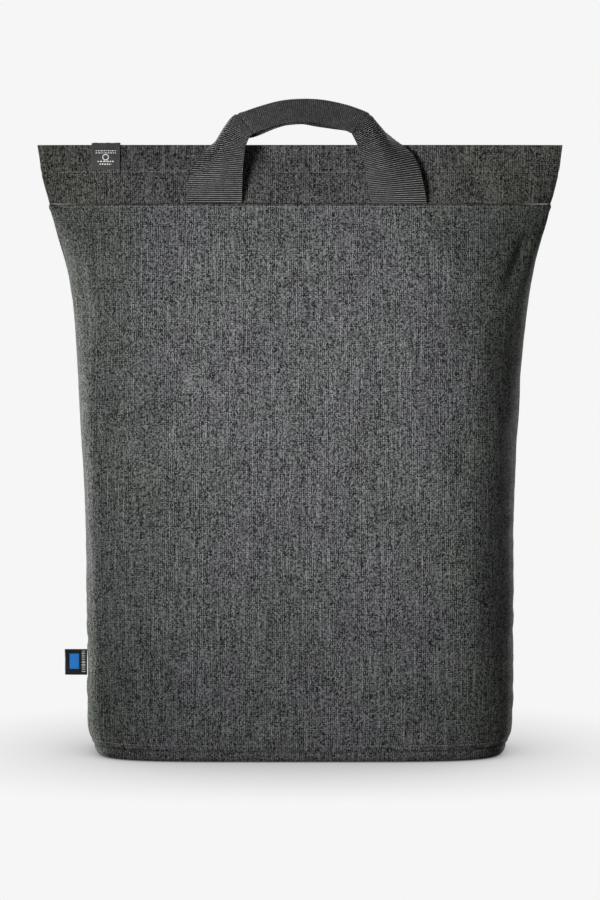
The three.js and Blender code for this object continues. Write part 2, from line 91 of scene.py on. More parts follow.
# Zip, handle, label, tab and straps, as in the CAD source
ZIP_DEPTH = 7
ZIP_CLEARANCE = 0.4
ZIP_TAPE = 1.2
ZIP_TEETH_WIDTH = 4
TAPE_TOP = HEIGHT - ZIP_DEPTH
WEBBING_WIDTH = 40
WEBBING = 1.6
WEBBING_RIB = 1.5
RIB_ROOM = 0.3
HANDLE_SPAN = 135
HANDLE_RISE = 77
HANDLE_CENTRE = 5
HANDLE_LEAN = 5.5
HANDLE_TILT = math.radians(28)
LAYER_GAP = 1.0
FLAT_FOLD = 0.001
OPEN_BEND = 9
FOOT_SHARE = 0.35
HANDLE_STEP = 0.5 / 32
HANDLE_STATIONS = [
    [0.00, -0.497, 0.000, 0.00, 0.00],
    [0.05, -0.496, 0.148, 0.02, 0.06],
    [0.10, -0.493, 0.300, 0.06, 0.17],
    [0.15, -0.486, 0.448, 0.14, 0.30],
    [0.20, -0.472, 0.590, 0.28, 0.45],
    [0.25, -0.442, 0.720, 0.50, 0.58],
    [0.30, -0.401, 0.823, 0.72, 0.73],
    [0.35, -0.328, 0.876, 0.86, 0.88],
    [0.40, -0.246, 0.922, 0.94, 0.97],
    [0.46, -0.140, 0.969, 1.00, 1.00],
    [0.52, -0.031, 0.986, 1.00, 1.00],
    [0.58, 0.078, 0.981, 1.00, 0.92],
    [0.64, 0.183, 0.948, 0.94, 0.83],
    [0.69, 0.267, 0.904, 0.86, 0.77],
    [0.74, 0.340, 0.840, 0.72, 0.69],
    [0.79, 0.389, 0.710, 0.50, 0.48],
    [0.84, 0.427, 0.557, 0.28, 0.36],
    [0.89, 0.455, 0.393, 0.14, 0.19],
    [0.95, 0.478, 0.182, 0.06, 0.05],
    [1.00, 0.496, 0.000, 0.00, 0.00],
]
LABEL_WIDTH = 21
LABEL_DROP = 18
LABEL_MIDDLE = 51 - MOUTH_WIDTH / 2
LABEL_CLOTH = 1
LABEL_CLEARANCE = 0.46
TAB_LENGTH = 16.5
TAB_HEIGHT = 19
TAB_RISE = 56
TAB_CLOTH = 0.9
TAB_LEAF_GAP = 0.6
STRAP_WIDTH = 60
STRAP_THICKNESS = 10
STRAP_TOP_SPACING = 96
STRAP_END_SPACING = 176
STRAP_RISE = 120
STRAP_SLACK = 16
STRAP_STEP = 0.5 / 15
STRAP_CLEARANCE = 0.6
STRAP_STATIONS = [
    [0.00, 0.00, 0.00, 0.40, 0.80],
    [0.06, 0.03, 0.00, 0.75, 0.90],
    [0.14, 0.09, 0.02, 1.00, 1.00],
    [0.30, 0.28, 0.12, 1.00, 1.00],
    [0.50, 0.58, 0.50, 1.00, 1.00],
    [0.70, 0.84, 0.90, 1.00, 0.96],
    [0.88, 0.97, 1.00, 0.95, 0.86],
    [0.96, 1.00, 1.00, 0.75, 0.70],
    [1.00, 1.00, 1.00, 0.45, 0.58],
]
BUCKLE_BAR = 3.4
BUCKLE_SLOT = 5.2
LOWER_WEBBING_WIDTH = 25
LOWER_END_SPACING = 240
LOWER_END_RISE = 26
TAIL_LENGTH = 62


def lerp(a, b, share):
    return a + (b - a) * share


def length_of(vectors):
    return np.sqrt((vectors**2).sum(-1, keepdims=True))


def unit(vectors):
    return vectors / np.maximum(length_of(vectors), 1e-9)


def run_along(points, axis):
    """Path length up to each point, along one axis of a grid of points."""
    steps = length_of(np.diff(points, axis=axis))[..., 0]
    start = np.zeros_like(np.take(steps, [0], axis=axis))
    return np.concatenate([start, np.cumsum(steps, axis=axis)], axis=axis)


def bump(x, middle, spread):
    return np.exp(-(((x - middle) / spread) ** 2))


def ramp(x, low, high):
    share = np.clip((x - low) / (high - low), 0, 1)
    return share * share * (3 - 2 * share)


def ripples(u, v, length_u, length_v, seed, count=14):
    """Soft seeded unevenness of about unit height."""
    draws = np.random.default_rng(seed)
    total = 0
    for _ in range(count):
        across, up = draws.normal(size=2)
        phase = draws.uniform(0, 2 * math.pi)
        total = total + np.cos(2 * math.pi * (across * u / length_u + up * v / length_v) + phase)
    return total / math.sqrt(count / 2)


def smooth_table(rows):
    """The CAD source's smooth curves through a table whose first column is the place."""
    rows = np.array(rows, float)
    places, values = rows[:, 0], rows[:, 1:]
    secants = np.diff(values, axis=0) / np.diff(places)[:, None]
    slopes = np.vstack([secants[:1], (secants[1:] + secants[:-1]) / 2, secants[-1:]])

    def at(place):
        place = np.asarray(place, float)
        i = np.clip(np.searchsorted(places, place, side="right") - 1, 0, len(places) - 2)
        step = (places[i + 1] - places[i])[..., None]
        t = (place[..., None] - places[i][..., None]) / step
        t2, t3 = t * t, t * t * t
        curve = (2 * t3 - 3 * t2 + 1) * values[i] + (t3 - 2 * t2 + t) * step * slopes[i]
        curve = curve + (3 * t2 - 2 * t3) * values[i + 1] + (t3 - t2) * step * slopes[i + 1]
        return np.moveaxis(curve, -1, 0)

    return at


# Meshes


class Shape:
    """A piece's points and faces, with its cloth coordinates (mm) and its faces' materials."""

    def __init__(self, name):
        self.name = name
        self.points, self.cloth, self.faces, self.paints = [], [], [], []
        self.count = 0

    def add(self, points, faces, cloth, paint=0):
        self.points.append(points.reshape(-1, 3))
        self.cloth.append(cloth.reshape(-1, 2))
        self.faces += [tuple(self.count + corner for corner in face) for face in faces]
        self.paints += [paint] * len(faces)
        self.count += self.points[-1].shape[0]

    def build(self, materials, nodes=(), sharp=50):
        mesh = bpy.data.meshes.new(self.name)
        mesh.from_pydata((np.vstack(self.points) * MM).tolist(), [], self.faces)
        for material in materials:
            mesh.materials.append(material)
        mesh.polygons.foreach_set("material_index", self.paints)
        corners = np.zeros(len(mesh.loops), np.int32)
        mesh.loops.foreach_get("vertex_index", corners)
        layer = mesh.uv_layers.new(name="cloth")
        layer.uv.foreach_set("vector", np.vstack(self.cloth)[corners].ravel().astype(np.float32))
        mesh.shade_smooth()
        mesh.set_sharp_from_angle(angle=math.radians(sharp))
        mesh.validate()
        piece = bpy.data.objects.new(self.name + "_shown", mesh)
        bpy.context.scene.collection.objects.link(piece)
        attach(piece, "root")
        if nodes:
            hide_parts(*nodes)
        return piece


def grid_faces(rows, columns, start=0, closed=False):
    index = start + np.arange(rows * columns).reshape(rows, columns)
    if closed:
        index = np.concatenate([index, index[:, :1]], axis=1)
    corners = [index[:-1, :-1], index[:-1, 1:], index[1:, 1:], index[1:, :-1]]
    return np.stack(corners, -1).reshape(-1, 4)


def outward(points, faces):
    """The faces, turned if they enclose a negative volume."""
    a, b, c, d = (points.reshape(-1, 3)[faces[:, corner]] for corner in range(4))
    volume = (a * np.cross(b, c)).sum() + (a * np.cross(c, d)).sum()
    return faces if volume > 0 else faces[:, ::-1]


def add_wall(shape, outer, inner, cloth, paint=0):
    """A closed wall between two grids of points."""
    rows, columns = outer.shape[:2]
    index = np.arange(rows * columns).reshape(rows, columns)
    rim = np.concatenate([index[0, :-1], index[:-1, -1], index[-1, :0:-1], index[:0:-1, 0]])
    ahead, under = np.roll(rim, -1), rows * columns
    sides = np.stack([ahead, rim, rim + under, ahead + under], -1)
    beneath = grid_faces(rows, columns, under)[:, ::-1]
    faces = np.vstack([grid_faces(rows, columns), beneath, sides])
    points = np.concatenate([outer.reshape(-1, 3), inner.reshape(-1, 3)])
    both = np.concatenate([cloth.reshape(-1, 2)] * 2)
    shape.add(points, outward(points, faces).tolist(), both, paint)


def grid_normals(grid):
    return unit(np.cross(np.gradient(grid, axis=0), np.gradient(grid, axis=1)))


def add_sheet(shape, grid, thickness, cloth, paint=0, front=0.0, back=0.0):
    """A sheet about a grid on its middle, with relief added to its two faces."""
    normals = grid_normals(grid)
    rise = np.zeros(grid.shape[:2]) + front
    fall = np.zeros(grid.shape[:2]) + back
    outer = grid + normals * (thickness / 2 + rise)[..., None]
    inner = grid - normals * (thickness / 2 + fall)[..., None]
    add_wall(shape, outer, inner, cloth, paint)


def add_rings(shape, rings, cloth, paint=0):
    """A solid through closed rings, with fans over both ends."""
    count, around = rings.shape[:2]
    ends = [rings[0].mean(0), rings[-1].mean(0)]
    points = np.vstack([rings.reshape(-1, 3), ends])
    faces = grid_faces(count, around, closed=True)
    outside = outward(points, faces)
    flipped = bool((outside != faces).any())
    low, high = np.arange(around), (count - 1) * around + np.arange(around)
    start, end = count * around, count * around + 1
    fans = [(start, b, a) for a, b in zip(low, np.roll(low, -1))]
    fans += [(end, a, b) for a, b in zip(high, np.roll(high, -1))]
    fans = [tuple(int(corner) for corner in (fan[::-1] if flipped else fan)) for fan in fans]
    both = np.vstack([cloth.reshape(-1, 2), cloth[0].mean(0), cloth[-1].mean(0)])
    shape.add(points, outside.tolist() + fans, both, paint)


CAPSULE_SHARES = np.array([0.0, 0.14, 0.5, 0.86, 1.0])
CAPSULE_SIDES = 6


def add_capsules(shape, centres, along, off, length, thick, flat=1.0, paint=0):
    """Small rounded rods, one at each centre, in one joined mesh."""
    along, off = unit(along), unit(off)
    side = np.cross(along, off)
    turn = np.arange(CAPSULE_SIDES) / CAPSULE_SIDES * 2 * math.pi
    radius = thick / 2 * np.array([0.35, 0.8, 1.0, 0.8, 0.35])
    length = np.broadcast_to(np.asarray(length, float), (len(centres),))
    for index in range(len(centres)):
        run = (CAPSULE_SHARES - 0.5) * length[index]
        ring = (
            centres[index]
            + run[:, None, None] * along[index]
            + (radius[:, None] * np.cos(turn))[..., None] * side[index]
            + (radius[:, None] * np.sin(turn) * flat)[..., None] * off[index]
        )
        faces = grid_faces(len(run), CAPSULE_SIDES, closed=True).tolist()
        last = (len(run) - 1) * CAPSULE_SIDES
        faces += [tuple(range(CAPSULE_SIDES))[::-1], tuple(range(last, last + CAPSULE_SIDES))]
        cloth = np.zeros(ring.shape[:2] + (2,)) + np.array([index * 3.7, 0])
        shape.add(ring, faces, cloth, paint)


def stitch_row(shape, path, off, pitch=3.1, length=2.2, thick=0.55, paint=1, seed=1, lift=0.1):
    """A row of stitches along a path, half sunk in the cloth."""
    arc = run_along(path, 0)
    draws = np.random.default_rng(seed)
    middles = np.arange(pitch, arc[-1] - pitch, pitch)
    middles = middles + draws.normal(size=len(middles)) * 0.12
    at = lambda values, where: np.stack([np.interp(where, arc, values[:, k]) for k in range(3)], -1)
    centres = at(path, middles) + at(off, middles) * lift
    along = at(path, middles + 0.5) - at(path, middles - 0.5)
    along = unit(along) + at(off, middles) * draws.normal(size=(len(middles), 1)) * 0.05
    lengths = length * (1 + draws.normal(size=len(middles)) * 0.06)
    add_capsules(shape, centres, along, at(off, middles), lengths, thick, 0.8, paint)


# Body form

section_at = smooth_table(SECTIONS)


def half_sizes(z):
    widening, deepening, face, side = section_at(np.asarray(z, float) / HEIGHT)
    width = lerp(BODY_WIDTH, MOUTH_WIDTH, widening) / 2
    depth = lerp(MOUTH_DEPTH, BODY_DEPTH, deepening) / 2
    return width, depth, face, side


def fold_height(half, across, z):
    total = np.zeros(np.broadcast(across, z).shape)
    for side, low_place, high_place, low, high, spread, height in FOLDS:
        if side != half:
            continue
        share = (z / HEIGHT - low) / (high - low)
        inside = (share > 0) & (share < 1)
        distance = (across - lerp(low_place, high_place, share)) / spread
        swell = np.sin(math.pi * np.clip(share, 0, 1)) * np.exp(-distance * distance)
        total = total + np.where(inside, FOLD_HEIGHT * height * swell, 0)
    return total


def face_share(across, face, side):
    return np.clip(1 - np.abs(across) ** face, 0, 1) ** (1 / side)


def outline_at(half, z, inset, gap, t):
    width, depth, face, side = half_sizes(z)
    across = -np.cos(math.pi * t)
    inset = inset - fold_height(half, across, z)
    reach = (depth - inset) * face_share(across, face, side)
    y = half * (gap / 2 + reach)
    return np.stack([(width - inset) * across, y, np.full_like(across, z)], -1)


DENSE = np.linspace(0, 1, 1201)

# The lowest corners are drawn in by this share of the width, about this height
CORNER_DRAW = 0.018
CORNER_DRAW_RISE = 5
CORNER_DRAW_SPREAD = 9


def cloth_grid(half, heights, insets, columns, gap=SEAM_GAP):
    """Rows of points round half of the body, and their places across the cloth from its middle."""
    even = np.linspace(0, 1, columns + 1)
    shares = lerp(even, (1 - np.cos(math.pi * even)) / 2, EDGE_CROWDING)
    rows, across = [], []
    for z, inset in zip(heights, np.broadcast_to(insets, len(heights))):
        arc = run_along(outline_at(half, z, inset, gap, DENSE), 0)
        rows.append(outline_at(half, z, inset, gap, np.interp(shares * arc[-1], arc, DENSE)))
        across.append((shares - 0.5) * arc[-1])
    rows = np.array(rows)
    rows[..., 0] *= 1 - CORNER_DRAW * bump(rows[..., 2], CORNER_DRAW_RISE, CORNER_DRAW_SPREAD)
    return rows, np.array(across)


def face_reach(half, x, z):
    width, depth, face, side = half_sizes(z)
    across = np.clip(x / width, -1, 1)
    return SEAM_GAP / 2 + (depth + fold_height(half, across, z)) * face_share(across, face, side)


def off_back(x, z, distance):
    step = CLOTH / 2
    on_back = lambda u, v: np.stack([u + 0 * v, face_reach(1, u, v), v + 0 * u], -1)
    here = on_back(x, z)
    normal = unit(np.cross(on_back(x, z + step) - here, on_back(x + step, z) - here))
    return here + normal * np.asarray(distance)[..., None]


def band_inset(z):
    return BAND_RECESS * (HEIGHT - z) / BAND_HEIGHT


# Materials


class Finish:
    """A procedural material's nodes. Inputs are numbers, colours or other nodes' outputs."""

    def __init__(self, name, **surface):
        self.material = bpy.data.materials.new(name)
        self.material.use_nodes = True
        self.tree = self.material.node_tree
        self.surface = self.tree.nodes["Principled BSDF"]
        self.set(self.surface, surface)
        self.cloth = self.node("ShaderNodeUVMap", uv_map="cloth").outputs["UV"]

    def set(self, node, inputs):
        for key, value in inputs.items():
            socket = node.inputs[key.replace("_", " ") if isinstance(key, str) else key]
            if isinstance(value, bpy.types.NodeSocket):
                self.tree.links.new(value, socket)
            else:
                socket.default_value = value[:3] if socket.type == "VECTOR" else value

    def node(self, kind, inputs=None, **settings):
        node = self.tree.nodes.new(kind)
        for key, value in settings.items():
            setattr(node, key, value)
        self.set(node, inputs or {})
        return node

    def scaled(self, across, up, offset=(0, 0, 0)):
        """Cloth coordinates in steps of so many millimetres."""
        factor = (1 / across, 1 / up, 1)
        return self.node(
            "ShaderNodeVectorMath", {0: self.cloth, 1: factor, 2: offset}, operation="MULTIPLY_ADD"
        ).outputs[0]

    def cells(self, across, up, offset=(0, 0, 0)):
        """A random value, from 0 to 1, for each cell of the cloth."""
        floor = self.node(
            "ShaderNodeVectorMath", {0: self.scaled(across, up, offset)}, operation="FLOOR"
        )
        return self.node(
            "ShaderNodeTexWhiteNoise", {"Vector": floor.outputs[0]}, noise_dimensions="2D"
        ).outputs["Value"]

    def noise(self, across, up, detail=2.0, offset=(0, 0, 0)):
        return self.node(
            "ShaderNodeTexNoise",
            {"Vector": self.scaled(across, up, offset), "Scale": 1.0, "Detail": detail},
            noise_dimensions="2D",
        ).outputs[0]

    def spread(self, value, low, high, to_low=0.0, to_high=1.0):
        return self.node(
            "ShaderNodeMapRange", {0: value, 1: low, 2: high, 3: to_low, 4: to_high}
        ).outputs[0]

    def math(self, operation, *values):
        return self.node(
            "ShaderNodeMath", dict(enumerate(values)), operation=operation
        ).outputs[0]

    def sum(self, *values):
        total = values[0]
        for value in values[1:]:
            total = self.math("ADD", total, value)
        return total

    def mix(self, share, a, b):
        return self.node("ShaderNodeMix", {0: share, 6: a, 7: b}, data_type="RGBA").outputs[2]

    def shade(self, colour, value):
        """A colour made lighter or darker by a value about 1."""
        return self.node(
            "ShaderNodeVectorMath", {0: colour, "Scale": value}, operation="SCALE"
        ).outputs[0]

    def bumped(self, height, distance, strength=1.0):
        bumps = self.node(
            "ShaderNodeBump", {"Height": height, "Distance": distance, "Strength": strength}
        )
        self.set(self.surface, {"Normal": bumps.outputs[0]})


def colour(*levels):
    """A linear colour from red, green and blue in 0 to 255."""
    linear = [((c / 255 + 0.055) / 1.055) ** 2.4 if c > 10 else c / 255 / 12.92 for c in levels]
    return (*linear, 1.0)


def melange(name, cool, warm, contrast=1.0, slubs=1.0, edges=1.0, pitch=1.5):
    """Cloth of mixed yarns, cool to warm at random, warmer towards its sides as a painted rim
    reflection, and darker towards its sides by the share edges as painted shade.
    """
    f = Finish(
        name, Roughness=0.95, Specular_IOR_Level=0.12, Sheen_Weight=0.05, Sheen_Roughness=0.4
    )
    half = pitch / 2
    split = f.node("ShaderNodeSeparateXYZ", {0: f.cloth})
    speck = f.cells(half, half, (5.1, 71.9, 0))
    upright = f.cells(half, pitch, (0.3, 17.5, 0))
    level = f.cells(pitch, half, (37.3, 11.7, 0))
    rows = f.math("SINE", f.math("MULTIPLY", split.outputs[1], 2 * math.pi / pitch))
    columns = f.math("SINE", f.math("MULTIPLY", split.outputs[0], 2 * math.pi / pitch))
    drift = f.spread(f.noise(7, 9, 2.0, (1.3, 8.8, 0)), 0.3, 0.7, 0.3, 1.5)
    warp = f.spread(f.noise(1.2, 40, 3.0, (3.3, 9.1, 0)), 0.3, 0.7, -1, 1)
    weft = f.spread(f.noise(34, 1.2, 3.0, (8.2, 1.7, 0)), 0.3, 0.7, -1, 1)
    slub_up = f.spread(f.noise(1.25, 42, 1.0, (51.7, 3.9, 0)), 0.60, 0.78, 0, 1)
    slub_level = f.spread(f.noise(22, 1.2, 1.0, (2.9, 47.1, 0)), 0.66, 0.80, 0, 1)
    shadow_up = f.spread(f.noise(1.4, 16, 1.0, (17.7, 63.9, 0)), 0.62, 0.8, 0, 1)
    cloud = f.spread(f.noise(30, 45, 3.0, (4.4, 6.6, 0)), 0.3, 0.7, -1, 1)
    centred = lambda value, weight: f.math("MULTIPLY", f.math("SUBTRACT", value, 0.5), weight)
    mesh = f.sum(f.math("MULTIPLY", rows, 0.14), f.math("MULTIPLY", columns, 0.34))
    grains = f.sum(
        centred(speck, 2.2 * contrast),
        centred(upright, 1.3 * contrast),
        centred(level, 0.6 * contrast),
        f.math("MULTIPLY", mesh, f.math("MULTIPLY", drift, 1.5 * contrast)),
    )
    yarns = f.sum(
        f.math("MULTIPLY", warp, 0.28 * slubs),
        f.math("MULTIPLY", weft, 0.05 * slubs),
        f.math("MULTIPLY", slub_up, 0.95 * slubs),
        f.math("MULTIPLY", slub_level, 0.35 * slubs),
        f.math("MULTIPLY", shadow_up, -0.50 * slubs),
        f.math("MULTIPLY", cloud, 0.03),
    )
    value = f.math("MAXIMUM", f.sum(f.math("ADD", grains, 1.0), yarns), 0.1)
    patches = f.spread(f.noise(60, 80, 1.0, (31.0, 12.0, 0)), 0.35, 0.65)
    off_middle = f.math("ABSOLUTE", split.outputs[0])
    # painted rim reflection: the tint turns warm towards the sides, added to random warm patches
    outwards = f.spread(off_middle, 90, 200, 0, 0.8)
    patch_and_rim_tint = f.math("MINIMUM", f.math("ADD", f.math("MULTIPLY", patches, 0.4), outwards), 1.0)
    # painted shade: the cloth darkens towards its sides by the share edges
    value = f.math("MULTIPLY", value, f.spread(off_middle, 75, 150, 1, edges))
    f.set(f.surface, {"Base_Color": f.shade(f.mix(patch_and_rim_tint, cool, warm), value)})
    f.bumped(f.sum(grains, yarns), 0.0001, 0.45)
    return f.material


def ribbed(name, dark, light, rib=WEBBING_RIB, roughness=0.6, grip_shade_reach=None):
    """Ribs across the run: a painted highlight on each crest over the webbing's black, which is
    deepened to painted shade in the grooves. Within the grip_shade_reach length each side of 0 the
    ribs are fainter and the webbing darker, a painted shade.
    """
    f = Finish(name, Roughness=roughness, Specular_IOR_Level=0.3, Sheen_Weight=0.05)
    split = f.node("ShaderNodeSeparateXYZ", {0: f.cloth})
    wave = f.math("COSINE", f.math("MULTIPLY", split.outputs[1], 2 * math.pi / rib))
    # painted highlight on the rib crests; the grooves keep the dark colour as painted shade
    painted_rib_highlight = f.spread(wave, 0.5, 0.95)
    yarn = f.cells(1.3, rib, (0.4, 0.5, 0))
    fibre = f.noise(0.5, 0.35, 2.0)
    patch = f.spread(f.noise(6, 9, 2.0, (7, 3, 0)), 0.3, 0.7, 0.9, 1.1)
    glint = f.spread(yarn, 0, 1, 0.75, 1.25)
    tone_and_shade = f.math("MULTIPLY", patch, glint)
    tone_and_shade = f.math("MULTIPLY", tone_and_shade, f.spread(fibre, 0.25, 0.75, 0.88, 1.14))
    if grip_shade_reach:
        away = f.math("ABSOLUTE", split.outputs[1])
        # over the grip the painted rib highlights fade
        loud = f.spread(away, grip_shade_reach - 4, grip_shade_reach + 12, 0.3, 1.0)
        painted_rib_highlight = f.math("ADD", f.math("MULTIPLY", painted_rib_highlight, loud), f.spread(loud, 0.3, 1.0, 0.22, 0))
        # painted shade: darker over the grip and the creases beside it, lighter further out towards
        # the feet
        tone_and_shade = f.math("MULTIPLY", tone_and_shade, f.spread(away, grip_shade_reach, grip_shade_reach + 45, 0.7, 1.15))
    f.set(f.surface, {"Base_Color": f.shade(f.mix(painted_rib_highlight, dark, light), tone_and_shade)})
    f.bumped(f.sum(f.math("MULTIPLY", yarn, 0.5), fibre), 0.00008, 0.7)
    return f.material


def woven(name, base, light, cell=0.5, roughness=0.75, sheen=0.1):
    f = Finish(name, Roughness=roughness, Sheen_Weight=sheen, Specular_IOR_Level=0.3)
    grains = f.sum(f.cells(cell, cell * 2), f.cells(cell * 2, cell, (9.2, 4.1, 0)))
    patch = f.spread(f.noise(8, 8, 2.0), 0.3, 0.7, 0.92, 1.08)
    f.set(f.surface, {"Base_Color": f.shade(f.mix(f.spread(grains, 0.2, 1.8), base, light), patch)})
    f.bumped(grains, 0.00006, 0.6)
    return f.material


def moulded(name, base, roughness=0.45, metallic=0.0):
    f = Finish(name, Metallic=metallic, Specular_IOR_Level=0.4)
    place = f.node("ShaderNodeTexCoord").outputs["Object"]
    speckle = lambda scale, detail: f.node(
        "ShaderNodeTexNoise", {"Vector": place, "Scale": scale, "Detail": detail}
    ).outputs[0]
    wear = speckle(240.0, 4.0)
    f.set(f.surface, {"Roughness": f.spread(wear, 0.3, 0.7, roughness - 0.08, roughness + 0.1)})
    f.set(f.surface, {"Base_Color": f.shade(base, f.spread(wear, 0.3, 0.7, 0.92, 1.1))})
    f.bumped(speckle(2600.0, 2.0), 0.00002, 0.5)
    return f.material


# The body's cloth has painted shade towards its sides (edges) and a painted warm rim reflection there;
# the warm colour also tints random patches.
CLOTH_FINISH = melange("melange_cloth", colour(90, 90, 93), colour(87, 91, 84), edges=0.72)
# The bands' cloth is the body's melange made darker: painted shade for the bands' backward lean
# towards the mouth.
SHADED_BAND_FINISH = melange("band_cloth_shaded", colour(76, 76, 77), colour(75, 76, 70))
STRAP_FINISH = melange("strap_cloth", colour(78, 78, 80), colour(76, 78, 75), 0.8, 0.6)
THREAD = woven("thread", colour(105, 105, 103), colour(150, 150, 146), 0.4)
DARK_THREAD = woven("dark_thread", colour(40, 40, 40), colour(62, 61, 60), 0.4)
# Ribbed webbing: the light colour is a painted highlight on the rib crests, over the black webbing's
# dark colour deepened to painted shade in the grooves; the handle's finish adds painted shade over its
# grip.
RIBBED = ribbed("ribbed_webbing", colour(4, 4, 4), colour(140, 140, 139))
HANDLE_FINISH = ribbed("handle_webbing", colour(4, 4, 4), colour(140, 140, 139), grip_shade_reach=50)
LABEL_FINISH = woven("label_cloth", colour(62, 62, 63), colour(86, 86, 86), 0.35, 0.55, 0.2)
LABEL_THREAD = woven("label_thread", colour(238, 238, 235), colour(252, 252, 250), 0.3, 0.6)
TAB_FINISH = woven("tab_cloth", colour(16, 17, 19), colour(34, 35, 38), 0.35, 0.6)
TAB_BLUE = woven("tab_blue", colour(32, 138, 246), colour(50, 162, 255), 0.35, 0.6)
TAB_WHITE = woven("tab_white", colour(170, 172, 176), colour(220, 222, 224), 0.3, 0.6)
PLASTIC = moulded("black_plastic", colour(26, 26, 28))
ZIP_FINISH = woven("zip_cloth", colour(18, 18, 19), colour(34, 34, 36), 0.4)
TEETH = moulded("zip_teeth", colour(28, 28, 30), 0.4)
METAL = moulded("zip_metal", colour(120, 120, 124), 0.32, 0.85)


# Body: two panels, two bands and the base

COLUMNS = 200
HEM_DROP = 20
# The back panel is drawn in by this much along the side seams
BACK_DRAW = 0.9


def edge_rows(low, high, count, edge=6.0, fine=8):
    """Heights with finer steps near both ends."""
    ends = edge * np.linspace(0, 1, fine, endpoint=False)
    between = np.linspace(low + edge, high - edge, count)
    return np.concatenate([low + ends, between, high - ends[::-1]])


def from_side(across):
    """Distance across the cloth from the nearer side seam."""
    return np.abs(across).max(1, keepdims=True) - np.abs(across)


def seam_dip(across):
    """Cloth drawn in along the side seams."""
    return -0.15 * bump(from_side(across), 0, 1.2)


def panel(name, half, seed):
    low, high = BASE_RISE + SEAM_GAP, BAND_SEAM - SEAM_GAP
    heights = edge_rows(low, high, 140)
    grid, across = cloth_grid(half, heights, 0.0, COLUMNS)
    up = heights[:, None] + 0 * across
    below, above = high - up, up - low
    relief = 0.4 * bump(below, 3.0, 2.0) - 0.8 * bump(below, 0, 1.0) - 0.25 * bump(below, 6.5, 2.5)
    relief += (
        0.25 * bump(above, 2.2, 1.4)
        - 0.6 * bump(above, 0, 1.0)
        - 0.35 * bump(above, 4.6, 1.0)
        + 0.2 * bump(above, 7.4, 2.0)
    )
    pucker = ripples(across, up, 7, 60, seed + 1)
    relief += 0.16 * pucker * np.exp(-below / 9) + 0.12 * pucker * np.exp(-above / 8)
    away = ramp(above, 0, 40) * ramp(below, 0, 30)
    relief += 0.45 * away * ripples(across, up, 90, 160, seed + 2)
    side = from_side(across)
    relief += 0.35 * ripples(across, up, 60, 26, seed + 3) * bump(side, 22, 14) * away
    relief += seam_dip(across)
    if half > 0:
        relief -= BACK_DRAW * bump(side, 0, 12)
    off = orient(grid_normals(grid), half)
    outer = grid + off * relief[..., None]
    inner, _ = cloth_grid(half, heights, CLOTH, COLUMNS)
    shape = Shape(name)
    add_wall(shape, outer, inner, np.stack([across, up], -1))
    for row_height, pitch in ((high - 1.9, 3.2), (low + 4.4, 3.0)):
        row = int(np.abs(heights - row_height).argmin())
        stitch_row(shape, outer[row, 12:-12], off[row, 12:-12], pitch=pitch, seed=seed + 4)
    return shape.build([CLOTH_FINISH, THREAD], [name])


def orient(normals, half):
    """Normals that point away from the body's middle on that half."""
    return normals * np.sign((normals[..., 1:2] * half).mean())


def band(name, half, seed):
    lip = HEIGHT - np.array([1.4, 0.8, 0.35, 0.0])
    heights = np.concatenate([np.linspace(BAND_SEAM, HEIGHT - 2, 56), lip])
    insets = band_inset(heights)
    grid, across = cloth_grid(half, heights, insets, COLUMNS)
    up = heights[:, None] + 0 * across
    hem = HEIGHT - HEM_DROP
    relief = -0.42 * bump(up, hem, 1.1)
    relief = relief + 0.22 * bump(up, hem - 4, 2.4) + 0.22 * bump(up, hem + 4, 2.6)
    relief += 0.12 * ripples(across, up, 6, 40, seed + 1) * np.exp(-np.abs(up - hem) / 4)
    edges = ramp(HEIGHT - up, 0, 8) * ramp(up - BAND_SEAM, 0, 8)
    relief += 0.4 * edges * ripples(across, up, 60, 40, seed + 2)
    relief -= 0.3 * bump(up, HEIGHT, 0.7)
    relief += seam_dip(across)
    off = orient(grid_normals(grid), half)
    outer = grid + off * relief[..., None]
    inner, _ = cloth_grid(half, heights, insets + CLOTH, COLUMNS)
    shape = Shape(name)
    add_wall(shape, outer, inner, np.stack([across + 13.7, up + 3.1], -1))
    row = int(np.abs(heights - hem).argmin())
    stitch_row(shape, outer[row, 6:-6], off[row, 6:-6], 3.0, 1.9, 0.45, seed=seed + 4)
    return shape.build([SHADED_BAND_FINISH, THREAD], [name])


def closed_outline(z, inset):
    front, _ = cloth_grid(-1, [z], inset, COLUMNS, gap=0.0)
    back, _ = cloth_grid(1, [z], inset, COLUMNS, gap=0.0)
    return np.concatenate([front[0], back[0][-2:0:-1]])


def base():
    shape = Shape("base_panel")
    turns = np.linspace(0, math.pi / 2, 10)

    def bends(wall):
        rings = []
        for turn in turns:
            ring = closed_outline(BASE_RISE, wall + BASE_ROUNDING * (1 - math.sin(turn)))
            ring[:, 2] = wall + (BASE_RISE - wall) * (1 - math.cos(turn))
            rings.append(ring)
        shares = [1 - 0.25, 1 - 0.5, 1 - 0.75, 1 - 0.97]
        return [rings[0] * [share, share, 1] for share in shares[::-1]] + rings

    rings = np.array(bends(0.0) + bends(CLOTH)[::-1])
    rise = rings[..., 2]
    flat = np.stack([rings[..., 0], rings[..., 1] + np.sign(rings[..., 1]) * rise], -1)
    add_rings(shape, rings, flat)
    return shape.build([CLOTH_FINISH], ["base_panel"])


panel("front_panel", -1, 10)
panel("back_panel", 1, 20)
band("front_band", -1, 30)
band("back_band", 1, 40)
base()


# Zip: tape, teeth and slider

TAPE_INSET = band_inset(TAPE_TOP - ZIP_TAPE) + CLOTH + ZIP_CLEARANCE
TOOTH_PITCH = 1.5


